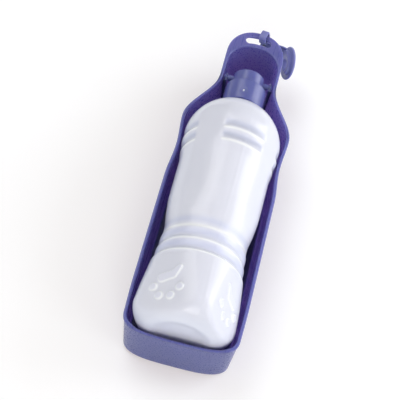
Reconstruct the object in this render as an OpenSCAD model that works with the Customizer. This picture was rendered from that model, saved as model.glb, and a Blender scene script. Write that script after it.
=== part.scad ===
// Dog travel water bottle: a squeeze bottle that lies in a drinking trough and
// swings up out of it on two pins, so that the trough can be filled.
// Frame: +Z up, +Y towards the head of the trough, X across. Millimetres.
// The trough rests on z = 0 and the whole assembly is centred on x = 0, y = 0.

/* [Trough] */
// Length of the trough from the foot end to the tip of the head
trough_len = 275; // [262:1:295]
// Room between the bottle's base and the trough's wall
side_room = 2.2; // [1.9:0.1:5]
// Half width over the rim at the head
head_half_w = 22; // [21.8:0.1:23]
// Height of the rim at the foot end
rim_foot_h = 41.5; // [38:0.5:46]
// Height of the rim at the tip of the head
rim_head_h = 47; // [45.5:0.5:50]
// Wall thickness of the trough
wall = 1.9; // [1.6:0.1:2]
// Floor thickness of the trough
floor_t = 2; // [1.6:0.1:3]
// Draft angle of the walls, in degrees
draft = 4; // [2:0.5:4]
// How far the rim bead stands out past the wall
lip = 0.5; // [0.3:0.1:0.6]
// Thickness of the rim bead and of the flange at the head
flange_t = 2.2; // [1.8:0.1:3]

/* [Bottle] */
// Largest radius of the bottle, at its base
base_r = 38.2; // [36:0.1:38.6]
// Radius at the shoulder
shoulder_r = 36.4; // [34:0.1:37]
// Radius at the grip, where the bottle is thinnest
grip_r = 31; // [29:0.1:32]
// Wall thickness of the bottle
skin = 1.2; // [0.8:0.1:1.5]
// Turn of the bottle's moulding line from the top, in degrees
bottle_turn = 14; // [0:1:45]
// Radius of the threads on the neck
thread_r = 13.5; // [13.4:0.05:13.6]

/* [Cap] */
// Radius of the cap's collar
collar_r = 15.5; // [15.3:0.1:15.7]
// Length of the collar
collar_len = 18; // [18:0.5:20]
// Radius of the cap's spout
spout_r = 11.7; // [11.5:0.1:12.2]
// Length of the spout past the collar
spout_len = 11.5; // [11.5:0.5:13]
// Radius of the pins where they run in the cradles
pin_r = 1.5; // [1.3:0.1:1.7]

/* [Strap] */
// Width of the loop round the bar
loop_w = 5.5; // [4.5:0.5:7]
// Radius of the eye's disc
eye_disc_r = 13; // [11:0.5:13]
// Radius of the hole in the eye
eye_hole_r = 4.6; // [3:0.1:5.5]

/* [Hidden] */
$fn = 96;

// Clearances
bottle_clear = 0.8;     // bottle to trough floor
bore_clear = 0.06;      // pin in its cradle
side_clear = 0.3;       // pin shoulders to cradle faces
loop_clear = 0.4;       // strap loop to its bar
thread_clear = 0.4;     // threads to the facing wall
seal_clear = 0.1;       // neck end to the washer

// Half width over the rim beside the bottle
trough_half_w = base_r + side_room + wall + lip;

// The head: slot, bar and flange
bar_w = 4.7;            // bar between the slot and the tip
slot_w = 6;             // width of the slot
slot_arc_r = 34;        // radius of the slot's middle line
slot_half_angle = 12;   // to the centres of its round ends
flange_len = 14.1;      // cavity edge to the tip
head_depth = 23.3;      // length of the head's rounded end, rim
cavity_depth = 20;      // the same for the cavity
head_power = 2.2;       // superellipse exponent of the rim's round end
foot_depth = 18;        // length of the foot's rounded corners
foot_power = 3.4;       // superellipse exponent of the foot

// The strap: extents that set the centre of the assembly
loop_t = 1.2;           // wall of the loop
eye_t = 1.8;            // thickness of the eye's disc
hub_h = 2.6;            // the hub stands this far out of the disc
eye_turn = 17;          // the disc's face turns towards the foot
eye_lean = 15;          // the disc leans out at the top
eye_x = 25.9;           // centre of the disc
eye_from_tip = 9.3;     // centre of the disc behind the tip
eye_z = 31;
eye_out = eye_disc_r * sqrt(1 - pow(sin(eye_turn) * cos(eye_lean), 2))
    + eye_t / 2 * sin(eye_turn);
strap_out = eye_out - eye_from_tip;

foot_y = -(trough_len + strap_out) / 2;
tip_y = foot_y + trough_len;

// The swing axis
pivot_from_tip = 43.8;
pivot_y = tip_y - pivot_from_tip;
pivot_z = floor_t + bottle_clear + base_r;

// The cap along the bottle's axis
pin_from_end = 4.1;
spout_end_y = pivot_y + pin_from_end;
collar_end_y = spout_end_y - spout_len;
cap_open_y = collar_end_y - collar_len;
cap_top_t = 2.3;        // wall between the collar's bore and the spout
washer_t = 1.4;
washer_y = collar_end_y - cap_top_t - washer_t;

// The bottle along its axis
neck_r = 12.3;
neck_end_y = washer_y - seal_clear;
ring_r = 14.8;          // support ring on the neck
ring_t = 1.8;
ring_gap = 0.7;         // from the ring to the cap
ring_y = cap_open_y - ring_gap - ring_t;
dome_len = 23;
shoulder_y = ring_y - dome_len;
bottle_from_foot = 5.8;
bottle_end_y = foot_y + bottle_from_foot;
base_fillet = 16.2;

collar_bore_r = thread_r + thread_clear;
bead_pitch = 3.6;
bead_w = 1.4;
first_bead_in = 3.4;    // first bead behind the cap's open end
cap_bead_w = 1.2;
bead_root = 0.4;        // how deep a cap bead stands in the collar's wall
cap_bead_clear = 0.6;   // cap beads to the neck

// The pins across the cap
pin_shoulder_x = 15.9;  // end of the thick root
pin_root_r = pin_r + 0.7;
knob_t = 0.9;
cradle_t = 1.5;
cradle_x = pin_shoulder_x + side_clear;
knob_x = cradle_x + cradle_t + side_clear;
cradle_w = 8;
cradle_top = 1.2;       // cradle above the swing axis
cradle_foot = 8;        // height where it leaves the wall
web_low = 20;
web_high = 36;

// Parts inside the spout
seat_depth = 5;         // valve seat behind the spout's end
valve_seat_y = spout_end_y - seat_depth;
valve_bore_r = 9.3;
valve_r = 9.15;
valve_t = 1.6;
channel_r = 6.5;
retainer_t = 1.9;
retainer_in_r = 5.6;
press_gap = 0.02;       // retainer to the spout's bore
washer_in_r = 9.4;
washer_clear = 0.3;

// Colours
blue = [0.25, 0.28, 0.66];
milk = [0.88, 0.9, 0.96];
clear_rubber = [0.86, 0.87, 0.85];

// ---------- small helpers ----------
function mix(a, b, t) = a + (b - a) * t;
function clamp01(t) = max(0, min(1, t));
function ease(t) = let (c = clamp01(t)) c * c * (3 - 2 * c);
function bell(t) = abs(t) < 1 ? (1 + cos(180 * t)) / 2 : 0;

// Lays something built along +Z along the bottle's axis instead, +Y forward.
module along_y(y) {
    translate([0, y, pivot_z])
        rotate([-90, 0, 0])
            children();
}

// ---------- trough ----------
// Half width of the rim at the distance s from the foot end.
// It is widest near the foot, dips at the waist and narrows to the head.
widest_s = trough_len * 0.1455;
waist_s = trough_len * 0.578;
waist_span = trough_len * 0.102;
waist_depth = 1.9;
foot_narrowing = 1.2;
taper_slope = 0.011;
neck_s = trough_len * 0.6764;
neck_span = trough_len * 0.1564;
function rim_half_w(s) =
    let (foot_taper = foot_narrowing * pow(1 - min(s, widest_s) / widest_s, 2))
    let (slow_taper = taper_slope * max(0, s - widest_s))
    let (dip = waist_depth * bell((s - waist_s) / waist_span))
    let (body = trough_half_w - foot_taper - slow_taper - dip)
    mix(body, head_half_w, ease((s - neck_s) / neck_span));

// Right half of an outline from the foot's middle to the head's middle. It lies
// inset inside the rim, and its round end starts head_s from the foot.
foot_steps = 9;
side_steps = 34;
head_steps = 15;
function half_outline(inset, head_s, head_d, power) = concat(
    [for (i = [0 : foot_steps - 1])
        let (a = 90 - 90 * i / foot_steps)
        [(rim_half_w(foot_depth) - inset) * pow(cos(a), 2 / foot_power),
         foot_depth - (foot_depth - inset) * pow(sin(a), 2 / foot_power)]],
    [for (i = [0 : side_steps])
        let (s = mix(foot_depth, head_s, i / side_steps))
        [rim_half_w(s) - inset, s]],
    [for (i = [1 : head_steps])
        let (a = 90 * i / head_steps)
        [(rim_half_w(head_s) - inset) * pow(cos(a), 2 / power),
         head_s + head_d * pow(sin(a), 2 / power)]]);

// The whole outline, counter-clockwise seen from above.
function full_outline(half) = concat(
    half,
    [for (i = [len(half) - 2 : -1 : 1]) [-half[i][0], half[i][1]]]);

// Moves each point of a closed outline outwards by d.
function grown(pts, d) = let (n = len(pts)) [for (i = [0 : n - 1])
    let (along = pts[(i + 1) % n] - pts[(i + n - 1) % n])
    pts[i] + d * [along[1], -along[0]] / norm(along)];

function rim_z(s) = mix(rim_foot_h, rim_head_h, s / trough_len);

rim_line = full_outline(half_outline(0, trough_len - head_depth, head_depth, head_power));
cavity_line = full_outline(half_outline(lip + wall,
    trough_len - flange_len - cavity_depth, cavity_depth, 2));

// Rings of the skin: an outline, moved out by d, below the rim or at a height.
// The walls draw in towards the floor by the draft angle.
function rim_ring(line, d, below) = [for (p = grown(line, d)) [p[0], p[1], rim_z(p[1]) - below]];
function low_ring(line, d, z) = [for (p = grown(line, d - (rim_foot_h - z) * tan(draft)))
    [p[0], p[1], z]];

outer_fillet = 4;
inner_fillet = outer_fillet - floor_t;
rim_round = 0.6;
fillet_steps = 4;
skin_rings = concat(
    [for (i = [0 : fillet_steps])
        let (a = 90 * i / fillet_steps)
        low_ring(cavity_line, wall - outer_fillet * (1 - sin(a)), outer_fillet * (1 - cos(a)))],
    [rim_ring(cavity_line, wall, flange_t),
     rim_ring(rim_line, 0, flange_t),
     rim_ring(rim_line, 0, rim_round),
     rim_ring(rim_line, -rim_round, 0),
     rim_ring(cavity_line, rim_round, 0),
     rim_ring(cavity_line, 0, rim_round)],
    [for (i = [fillet_steps : -1 : 0])
        let (a = 90 * i / fillet_steps)
        low_ring(cavity_line, -inner_fillet * (1 - sin(a)),
            floor_t + inner_fillet * (1 - cos(a)))]);

// A closed skin through rings with equal numbers of points.
module skin_solid(rings) {
    n = len(rings[0]);
    last = len(rings) - 1;
    points = [for (r = rings) for (p = r) p];
    sides = [for (k = [0 : last - 1]) for (i = [0 : n - 1])
        let (a = k * n + i, b = k * n + (i + 1) % n)
        each [[a, a + n, b], [b, a + n, b + n]]];
    first_cap = [for (i = [0 : n - 1]) i];
    last_cap = [for (i = [n - 1 : -1 : 0]) last * n + i];
    polyhedron(points = points, faces = concat([first_cap], sides, [last_cap]), convexity = 6);
}

// The slot: a band along an arc with round ends.
slot_mid_y = tip_y - bar_w - slot_w / 2;
slot_centre_y = slot_mid_y - slot_arc_r;
function on_arc(r, a) = [r * sin(a), slot_centre_y + r * cos(a)];
module slot() {
    slot_h = 3 * flange_t;
    translate([0, 0, rim_head_h - 2 * flange_t]) {
        translate([0, slot_centre_y, 0])
            rotate([0, 0, 90 - slot_half_angle])
                rotate_extrude(angle = 2 * slot_half_angle)
                    translate([slot_arc_r - slot_w / 2, 0])
                        square([slot_w, slot_h]);
        for (a = [-slot_half_angle, slot_half_angle])
            translate(on_arc(slot_arc_r, a))
                cylinder(h = slot_h, r = slot_w / 2);
    }
}

// A plate with an open-topped bearing for one pin, and a web to the wall.
web_t = 1.6;
mouth = 0.84;           // width of the mouth, as a share of the pin
module cradle() {
    difference() {
        translate([cradle_x, pivot_y - cradle_w / 2, cradle_foot])
            cube([cradle_t, cradle_w, pivot_z + cradle_top - cradle_foot]);
        translate([cradle_x - 1, pivot_y, pivot_z])
            rotate([0, 90, 0])
                cylinder(h = cradle_t + 2, r = pin_r + bore_clear);
        translate([cradle_x - 1, pivot_y - pin_r * mouth, pivot_z])
            cube([cradle_t + 2, 2 * pin_r * mouth, cradle_top + 1]);
    }
    web_x = cradle_x + cradle_t / 2;
    translate([web_x, pivot_y - web_t / 2, web_low])
        cube([head_half_w - lip - wall / 2 - draft * 0.4 - web_x, web_t, web_high - web_low]);
}

foot_step_h = 1;        // the foot end's rim lies this much lower
foot_step_len = 6;
foot_step_inset = 4;    // from the sides
module trough() {
    color(blue) {
        difference() {
            translate([0, foot_y, 0])
                skin_solid(skin_rings);
            slot();
            translate([foot_step_inset - trough_half_w, foot_y - 1, rim_foot_h - foot_step_h])
                cube([2 * (trough_half_w - foot_step_inset), foot_step_len, 5]);
        }
        cradle();
        mirror([1, 0, 0])
            cradle();
    }
}

// ---------- bottle ----------
// Profiles are lists of [radius, y]. Each rib has a steep side towards the head
// and a gentle one towards the foot.
ribs_from_end = 74.7;
ribs_y = bottle_end_y + ribs_from_end;
ribs_pitch = 11.5;
base_top_y = ribs_y - 2 * ribs_pitch;
grip_from_ribs = 8.5;
grip_y = ribs_y + grip_from_ribs;
body_r = mix(grip_r, shoulder_r, 0.58);
shoulder_len = 24;
upper_y = shoulder_y - shoulder_len;
// The radius climbs from the grip, over the ribs, to the base, which divides the
// climb into parts.
climb_parts = 72;
function climbed(parts) = mix(grip_r, base_r, parts / climb_parts);
base_mid = 22;          // from the base's top towards the foot
base_high = 11;
base_end = 2;
base_lip = 0.7;
rib_gap = 1.3;          // from one rib's steep side to the next rib's foot
rib_rise = 3.5;
rib_crest = 6;          // from the steep side back to the crest
rib_fall = 2.6;
rib_edge = 1.2;
rib_inside = 1;         // the inner wall's steps past the ribs' steep sides
// Steps from the grip up to the shoulder.
grip_edge = 0.6;
grip_edge_out = 0.5;
grip_start = 3;
flare_low = 11;
flare_high = 22;
flare_end = 32;
upper_before = 10;
upper_edge = 3;
upper_after = 4;
shoulder_run = 6;
dome_r = ring_r - 1;    // radius where the dome meets the ring

function arc_points(c, rr, ry, a0, a1, n) = [for (i = [0 : n])
    let (a = mix(a0, a1, i / n))
    [c[0] + rr * cos(a), c[1] + ry * sin(a)]];
function rib(y, low, high) = [
    [low, y - ribs_pitch + rib_gap], [mix(low, high, 0.7), y - ribs_pitch + rib_rise],
    [high, y - rib_crest], [mix(low, high, 0.85), y - rib_fall],
    [mix(low, high, 0.5), y - rib_edge]];
// The base and its round edge, d inside the surface.
function base_points(d) = concat(
    [[0, bottle_end_y + d], [base_r - base_fillet, bottle_end_y + d]],
    arc_points([base_r - base_fillet, bottle_end_y + base_fillet],
        base_fillet - d, base_fillet - d, -75, 0, 5),
    [[climbed(67) - d, base_top_y - base_mid], [climbed(57) - d, base_top_y - base_high],
     [climbed(45) - d, base_top_y - base_end]]);
// From the grip up to the neck, d inside the surface.
function upper_points(d) = concat(
    [[grip_r - d, ribs_y + grip_start], [grip_r - d, grip_y],
     [mix(grip_r, body_r, 0.45) - d, grip_y + flare_low],
     [mix(grip_r, body_r, 0.9) - d, grip_y + flare_high],
     [body_r - d, grip_y + flare_end], [body_r - d, upper_y - upper_before],
     [mix(body_r, shoulder_r, 0.4) - d, upper_y - upper_edge],
     [mix(body_r, shoulder_r, 0.8) - d, upper_y + upper_after],
     [shoulder_r - d, shoulder_y - shoulder_run]],
    arc_points([dome_r, shoulder_y], shoulder_r - dome_r - d, dome_len - d, 0, 80, 7));
outer_profile = concat(
    base_points(0),
    [[climbed(38), base_top_y - base_lip]],
    rib(ribs_y - ribs_pitch, climbed(20), climbed(32)),
    rib(ribs_y, climbed(10), climbed(21)),
    [[grip_r + grip_edge_out, ribs_y + grip_edge]],
    upper_points(0),
    [[dome_r, ring_y], [0, ring_y]]);
inner_profile = concat(
    base_points(skin),
    [[climbed(18) - skin, base_top_y + rib_inside],
     [climbed(8) - skin, ribs_y - ribs_pitch + rib_inside]],
    upper_points(skin),
    [[neck_r - skin, ring_y - skin], [neck_r - skin, neck_end_y + 1], [0, neck_end_y + 1]]);

module turned(profile) {
    translate([0, 0, pivot_z])
        rotate([-90, 0, 0])
            rotate_extrude()
                polygon(profile);
}

// Puts its children on the outside of the bottle, turned to the angle a from
// the top, with +Z outwards and +Y along the bottle.
module at_angle(a) {
    translate([0, 0, pivot_z])
        rotate([0, a, 0])
            children();
}

// Faces that flatten the bottle: low ones at the base, high ones on the body.
low_flat_in = 6.3;
low_flat_r = base_r - low_flat_in;
low_flat_y = bottle_end_y + base_fillet;
low_flat_slope = 5;
low_flat_back = 30;     // how far the cut runs on towards the foot
high_flat_out = 1.4;    // outside the grip
high_flat_r = grip_r + high_flat_out;
high_flat_y = grip_y + flare_low;
high_flat_slope = 1.6;
high_flat_back = 14;
high_flat_on = 12;      // past the shoulder
flat_cut = 20;          // height of the cutting block
module low_flat(d) {
    translate([0, low_flat_y, low_flat_r - d])
        rotate([low_flat_slope, 0, 0])
            children();
}
module flats(d) {
    for (k = [0 : 3])
        at_angle(bottle_turn + 45 + 90 * k) {
            low_flat(d)
                translate([-base_r, -low_flat_back, 0])
                    cube([2 * base_r, low_flat_back + base_top_y - low_flat_y + d, flat_cut]);
            translate([0, high_flat_y, high_flat_r - d])
                rotate([high_flat_slope, 0, 0])
                    translate([-base_r, -high_flat_back - d, 0])
                        cube([2 * base_r,
                            high_flat_back + shoulder_y + high_flat_on - high_flat_y + 2 * d,
                            flat_cut]);
        }
}

// Short grooves round the four corners of the shoulder.
groove_r = 1.7;
groove_out = 0.7;       // the groove's middle outside the surface
groove_first = -3;      // from the upper edge of the body
groove_pitch = 10.3;
groove_span = 57;
module grooves(d) {
    for (k = [0 : 3])
        for (j = [0 : 1])
            translate([0, upper_y + groove_first + groove_pitch * j, pivot_z])
                rotate([-90, 0, 0])
                    rotate([0, 0, bottle_turn + 90 * k - 90 - groove_span / 2])
                        rotate_extrude(angle = groove_span)
                            translate([mix(body_r, shoulder_r, 0.4 + 0.42 * j) + groove_out, 0])
                                circle(r = groove_r + d);
}

// A paw print stands out of each low flat: one pad and four toes.
paw_h = 0.8;
toe_r = 3.4;
module paw() {
    for (toe = [[-10.2, 5.4], [-4.4, -1.6], [4.4, -1.6], [10.2, 5.4]])
        translate([toe[0], toe[1], -0.5])
            cylinder(h = paw_h + 0.5, r = toe_r);
    for (pad = [[-3.6, 12, 3.7], [3.6, 13.4, 3.7], [-0.6, 15.6, 4.4]])
        translate([pad[0], pad[1], -0.5])
            cylinder(h = paw_h + 0.5, r = pad[2]);
}

module ring_on_axis(y, h, r_out, r_in) {
    along_y(y)
        difference() {
            cylinder(h = h, r = r_out);
            translate([0, 0, -1])
                cylinder(h = h + 2, r = r_in);
        }
}

first_bead_y = cap_open_y + first_bead_in;
bead_count = 3;
module bottle() {
    color(milk)
        difference() {
            union() {
                difference() {
                    turned(outer_profile);
                    flats(0);
                    grooves(0);
                }
                along_y(ring_y)
                    cylinder(h = ring_t, r = ring_r);
                along_y(ring_y)
                    cylinder(h = neck_end_y - ring_y, r = neck_r);
                for (k = [0 : bead_count - 1])
                    along_y(first_bead_y + bead_pitch * k - bead_w / 2)
                        cylinder(h = bead_w, r = thread_r);
                for (k = [0 : 3])
                    at_angle(bottle_turn + 45 + 90 * k)
                        low_flat(0)
                            paw();
            }
            difference() {
                turned(inner_profile);
                flats(skin);
                grooves(skin);
            }
        }
}

// ---------- cap ----------
edge = 0.8;             // chamfer on the cap's outer edges
pin_sunk = 0.8;         // how deep a pin's root starts in the spout's wall
knob_taper = 0.4;
cap_profile = [
    [collar_bore_r, cap_open_y], [collar_r - edge / 2, cap_open_y],
    [collar_r, cap_open_y + edge / 2], [collar_r, collar_end_y - edge],
    [collar_r - edge, collar_end_y], [spout_r, collar_end_y],
    [spout_r, spout_end_y - edge], [spout_r - edge, spout_end_y],
    [valve_bore_r, spout_end_y], [valve_bore_r, valve_seat_y],
    [channel_r, valve_seat_y], [channel_r, collar_end_y - cap_top_t],
    [collar_bore_r, collar_end_y - cap_top_t]];

module pin() {
    translate([0, pivot_y, pivot_z])
        rotate([0, 90, 0]) {
            translate([0, 0, valve_bore_r + pin_sunk])
                cylinder(h = pin_shoulder_x - valve_bore_r - pin_sunk, r = pin_root_r);
            translate([0, 0, pin_shoulder_x - 0.5])
                cylinder(h = knob_x - pin_shoulder_x + 1, r = pin_r);
            translate([0, 0, knob_x])
                cylinder(h = knob_t, r1 = pin_root_r, r2 = pin_root_r - knob_taper);
        }
}

module cap() {
    color(blue) {
        turned(cap_profile);
        for (k = [0 : bead_count - 2])
            ring_on_axis(first_bead_y + bead_pitch * (k + 0.5) - cap_bead_w / 2, cap_bead_w,
                collar_bore_r + bead_root, neck_r + cap_bead_clear);
        pin();
        mirror([1, 0, 0])
            pin();
    }
}

module sealing_washer() {
    color(clear_rubber)
        ring_on_axis(washer_y, washer_t, collar_bore_r - washer_clear, washer_in_r);
}

// A soft disc whose two slits open when the bottle is squeezed.
slit_w = 0.3;
slit_len = 8;
module outlet_valve() {
    y = valve_seat_y;
    color(clear_rubber)
        difference() {
            turned([[0, y + 0.2], [3, y + 0.3], [channel_r, y + 0.8], [channel_r, y],
                [valve_r, y], [valve_r, y + valve_t], [channel_r, y + valve_t],
                [3, y + 1.1], [0, y + 1]]);
            for (a = [45, 135])
                at_angle(a)
                    translate([-slit_len / 2, y - 1, -slit_w / 2])
                        cube([slit_len, valve_t + 2, slit_w]);
        }
}

module valve_retainer() {
    color(blue)
        ring_on_axis(valve_seat_y + valve_t, retainer_t, valve_bore_r - press_gap, retainer_in_r);
}

// ---------- strap ----------
loop_angle = 4.7;       // where the loop stands along the slot's arc
bar_y = tip_y - bar_w;
arm_low = eye_z - 4;
arm_h = 9;
arm_t = 1.5;
eye_y = tip_y - eye_from_tip;
eye_along = [-sin(eye_turn), cos(eye_turn)];

// Turns its children about the middle of the slot's arc.
module about_slot(a) {
    translate([0, slot_centre_y, 0])
        rotate([0, 0, -a])
            translate([0, -slot_centre_y, 0])
                children();
}

// A rectangle that leaves the gap g round the bar, in the plane x = y, y = z.
module round_bar(g) {
    translate([bar_y - g, rim_head_h - flange_t - g])
        square([bar_w + 2 * g, flange_t + 2 * g]);
}
module loop_section() {
    difference() {
        offset(r = loop_t)
            round_bar(loop_clear);
        round_bar(loop_clear);
    }
}

// The arm's route in plan, from the loop round to the eye's disc.
function bezier(p, t) = pow(1 - t, 3) * p[0] + 3 * t * pow(1 - t, 2) * p[1]
    + 3 * t * t * (1 - t) * p[2] + pow(t, 3) * p[3];
arm_from = let (r = tip_y + loop_clear + loop_t / 2 - slot_centre_y) on_arc(r, loop_angle);
arm_to = [eye_x, eye_y] + 8 * eye_along;
arm_route = [for (i = [0 : 12]) bezier(
    [arm_from, arm_from + [10, -0.8], arm_to + 5 * eye_along, arm_to], i / 12)];
function side_of(route, d) = let (n = len(route) - 1) [for (i = [0 : n])
    let (v = route[min(i + 1, n)] - route[max(i - 1, 0)])
    route[i] + d * [-v[1], v[0]] / norm(v)];
function reversed(list) = [for (i = [len(list) - 1 : -1 : 0]) list[i]];

hub_r = 7.2;
hole_along = -2.3;      // the hole sits off the disc's middle
hub_along = 3.5;
module eye() {
    translate([eye_x, eye_y, eye_z])
        rotate([0, 90 + eye_lean, eye_turn])
            difference() {
                union() {
                    translate([0, 0, -eye_t / 2])
                        cylinder(h = eye_t, r = eye_disc_r);
                    for (s = [hole_along, hub_along])
                        translate([0, s, -eye_t / 2 - hub_h])
                            cylinder(h = hub_h + eye_t / 2, r = hub_r);
                    translate([-hub_r, hole_along, -eye_t / 2 - hub_h])
                        cube([2 * hub_r, hub_along - hole_along, hub_h + eye_t / 2]);
                }
                translate([0, hole_along, -eye_t - hub_h])
                    cylinder(h = 2 * (eye_t + hub_h), r = eye_hole_r);
            }
}

module hanging_strap() {
    color(blue) {
        about_slot(loop_angle) {
            translate([-loop_w / 2, 0, 0])
                rotate([90, 0, 90])
                    linear_extrude(height = loop_w)
                        loop_section();
            translate([-loop_w / 2, tip_y + loop_clear, arm_low])
                cube([loop_w, loop_t, rim_head_h - flange_t - arm_low]);
        }
        translate([0, 0, arm_low])
            linear_extrude(height = arm_h)
                polygon(concat(side_of(arm_route, arm_t / 2),
                    reversed(side_of(arm_route, -arm_t / 2))));
        eye();
    }
}

trough();
bottle();
cap();
sealing_washer();
outlet_valve();
valve_retainer();
hanging_strap();
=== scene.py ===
# %% [markdown]
# # A dog's travel water bottle
#
# The object is a milky squeeze bottle that lies in a long blue drinking trough.
# This script replaces the four mouldings that show with smoother surfaces,
# keeps the small parts inside the cap, and gives every piece a finish.

# %% Load the frame
import math

import bpy
import numpy as np
from mathutils import Matrix


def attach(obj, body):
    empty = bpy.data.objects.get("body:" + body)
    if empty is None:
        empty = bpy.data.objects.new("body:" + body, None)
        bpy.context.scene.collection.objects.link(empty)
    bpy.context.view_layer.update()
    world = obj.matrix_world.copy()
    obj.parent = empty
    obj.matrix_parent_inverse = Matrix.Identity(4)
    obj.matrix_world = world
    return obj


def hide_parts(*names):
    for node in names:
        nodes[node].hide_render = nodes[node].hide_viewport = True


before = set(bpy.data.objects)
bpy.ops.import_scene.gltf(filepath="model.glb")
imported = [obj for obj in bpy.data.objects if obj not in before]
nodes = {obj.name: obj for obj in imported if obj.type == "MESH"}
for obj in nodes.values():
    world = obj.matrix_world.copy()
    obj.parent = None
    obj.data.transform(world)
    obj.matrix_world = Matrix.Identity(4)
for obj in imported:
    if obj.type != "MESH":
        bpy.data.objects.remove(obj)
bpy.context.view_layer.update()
print("nodes:", sorted(nodes))

# %% [markdown]
# ## The sizes
#
# The construction model's main sizes are written here once more in millimetres,
# because the smooth surfaces must lie where the solids lie. Points are worked
# out in millimetres and divided by 1000 when a mesh is made.

# %% Sizes shared by all pieces
# The trough from its foot to its tip along Y, and its rim's height at both ends.
FOOT_Y, TIP_Y = -139.217, 135.783
TROUGH_LEN = TIP_Y - FOOT_Y
RIM_FOOT, RIM_HEAD = 41.5, 47.0
# The bottle swings about a line along X through this place, and its own axis
# runs through the same place along Y.
AXIS_Y, AXIS_Z = 91.983, 41.0
print("trough", round(TROUGH_LEN, 1), "mm long, swing axis at y", AXIS_Y, "z", AXIS_Z, "mm")

# %% [markdown]
# ## Helpers for surfaces
#
# A surface is a grid of points: one parameter runs along the rows and the other
# along the columns. Every grid here closes on itself along the columns, as a
# tube does. Three helpers number the faces, and one turns closed surfaces into
# a mesh. Numpy does this for all the points at once, which is quicker than
# adding them one by one.


# %% Mesh helpers
def grid_faces(rows, columns):
    """Quads between neighbouring points of a grid whose point (i, j) is number
    i * columns + j. The last column joins the first again."""
    i, j = np.meshgrid(np.arange(rows - 1), np.arange(columns), indexing="ij")
    k = (j + 1) % columns
    a, b = i * columns + j, i * columns + k
    return np.stack([a, b, b + columns, a + columns], -1).reshape(-1, 4)


def ring_faces(rows, columns):
    """Quads of a grid whose last row joins the first as well, as on a ring."""
    return grid_faces(rows + 1, columns) % (rows * columns)


def tube_faces(rows, columns):
    """Quads of a grid, with one polygon across its first row and one across its
    last."""
    first = tuple(range(columns))[::-1]
    last = tuple(range((rows - 1) * columns, rows * columns))
    return [tuple(f) for f in grid_faces(rows, columns)] + [first, last]


def volume(points, faces):
    """Volume inside a closed surface: a . (b x c) / 6 summed over its triangles.
    It is negative when the faces point inwards."""
    fans = np.array([(f[0], f[i], f[i + 1]) for f in faces for i in range(1, len(f) - 1)])
    a, b, c = points[fans].transpose(1, 0, 2)
    return float(np.einsum("ij,ij->i", a, np.cross(b, c)).sum() / 6.0)


def placed(name, data):
    """A new object of the scene, at the origin, that holds the data."""
    thing = bpy.data.objects.new(name, data)
    bpy.context.scene.collection.objects.link(thing)
    return thing


def mesh_piece(name, parts, material, smooth=40.0):
    """One object from several closed surfaces, each (points in mm, faces). A
    surface whose volume is negative has its faces turned round. Edges sharper
    than the angle smooth, in degrees, stay crisp."""
    points, faces, start, total = [], [], 0, 0.0
    for part_points, part_faces in parts:
        part_points = np.asarray(part_points, float).reshape(-1, 3)
        inside = volume(part_points, part_faces)
        points.append(part_points)
        faces += [tuple(int(v) + start for v in (f if inside > 0 else f[::-1])) for f in part_faces]
        start += len(part_points)
        total += abs(inside)
    mesh = bpy.data.meshes.new(name)
    mesh.from_pydata((np.concatenate(points) / 1000.0).tolist(), [], faces)
    mesh.validate()
    mesh.polygons.foreach_set("use_smooth", np.ones(len(mesh.polygons), bool))
    mesh.set_sharp_from_angle(angle=math.radians(smooth))
    mesh.materials.append(material)
    print(name, len(mesh.vertices), "points,", len(mesh.polygons), "faces,",
          round(total / 1000.0, 2), "cubic cm")
    return placed(name, mesh)


print("3 rows of 4 points make", len(grid_faces(3, 4)), "quads, and", len(ring_faces(3, 4)), "on a ring")


# %% Functions of arrays
def ease(t):
    """The smooth step 3t^2 - 2t^3, held at 0 and 1 outside the range."""
    t = np.clip(t, 0.0, 1.0)
    return t * t * (3.0 - 2.0 * t)


def bell(t):
    """Half a cosine wave: 1 at t = 0, and 0 from t = -1 and t = 1 outwards."""
    return np.where(np.abs(t) < 1.0, 0.5 + 0.5 * np.cos(np.pi * np.clip(t, -1, 1)), 0.0)


def hump(away, width):
    """A soft hump with endless feet: exp(-(away / width)^2)."""
    return np.exp(-((away / width) ** 2))


def soft_min(a, b, k):
    """The smaller of a and b with the corner rounded over about k:
    min(a, b) - max(k - |a - b|, 0)^2 / 4k."""
    h = np.maximum(k - np.abs(a - b), 0.0)
    return np.minimum(a, b) - h * h / (4.0 * k)


def evenly(line, count):
    """count points at equal steps of length along a polyline."""
    line = np.asarray(line, float)
    s = np.concatenate([[0.0], np.cumsum(np.linalg.norm(np.diff(line, axis=0), axis=1))])
    t = np.linspace(0.0, s[-1], count)
    return np.stack([np.interp(t, s, line[:, k]) for k in range(line.shape[1])], -1)


def softened(line, step, radius):
    """A polyline resampled at the given step, with its corners rounded by a
    running average weighted as a bell curve of that radius. The line is carried
    on past its ends by turning it about them, so the ends stay in place."""
    line = np.asarray(line, float)
    length = np.linalg.norm(np.diff(line, axis=0), axis=1).sum()
    dense = evenly(line, int(length / step) + 2)
    reach = int(3 * radius / step)
    weight = np.exp(-0.5 * (np.arange(-reach, reach + 1) * step / radius) ** 2)
    weight /= weight.sum()
    start = 2 * dense[0] - dense[reach:0:-1]
    end = 2 * dense[-1] - dense[-2:-reach - 2:-1]
    padded = np.vstack([start, dense, end])
    return np.stack([np.convolve(padded[:, k], weight, "valid") for k in range(line.shape[1])], -1)


def about_axis(radius, y, around):
    """Points at distances radius from the bottle's axis and at y along it.
    around holds angles from the top towards +X, in radians."""
    x = radius * np.sin(around)
    return np.stack([x, np.broadcast_to(y, x.shape), AXIS_Z + radius * np.cos(around)], -1)


def revolved(profile, around):
    """Turns (radius, y) points about the bottle's axis into a grid of points."""
    r, y = np.asarray(profile, float).T
    return about_axis(r[:, None], y[:, None], around)


print("ease, bell and hump a quarter of the way:", ease(0.25), round(float(bell(0.25)), 3),
      round(float(hump(0.25, 1.0)), 3))

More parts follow.
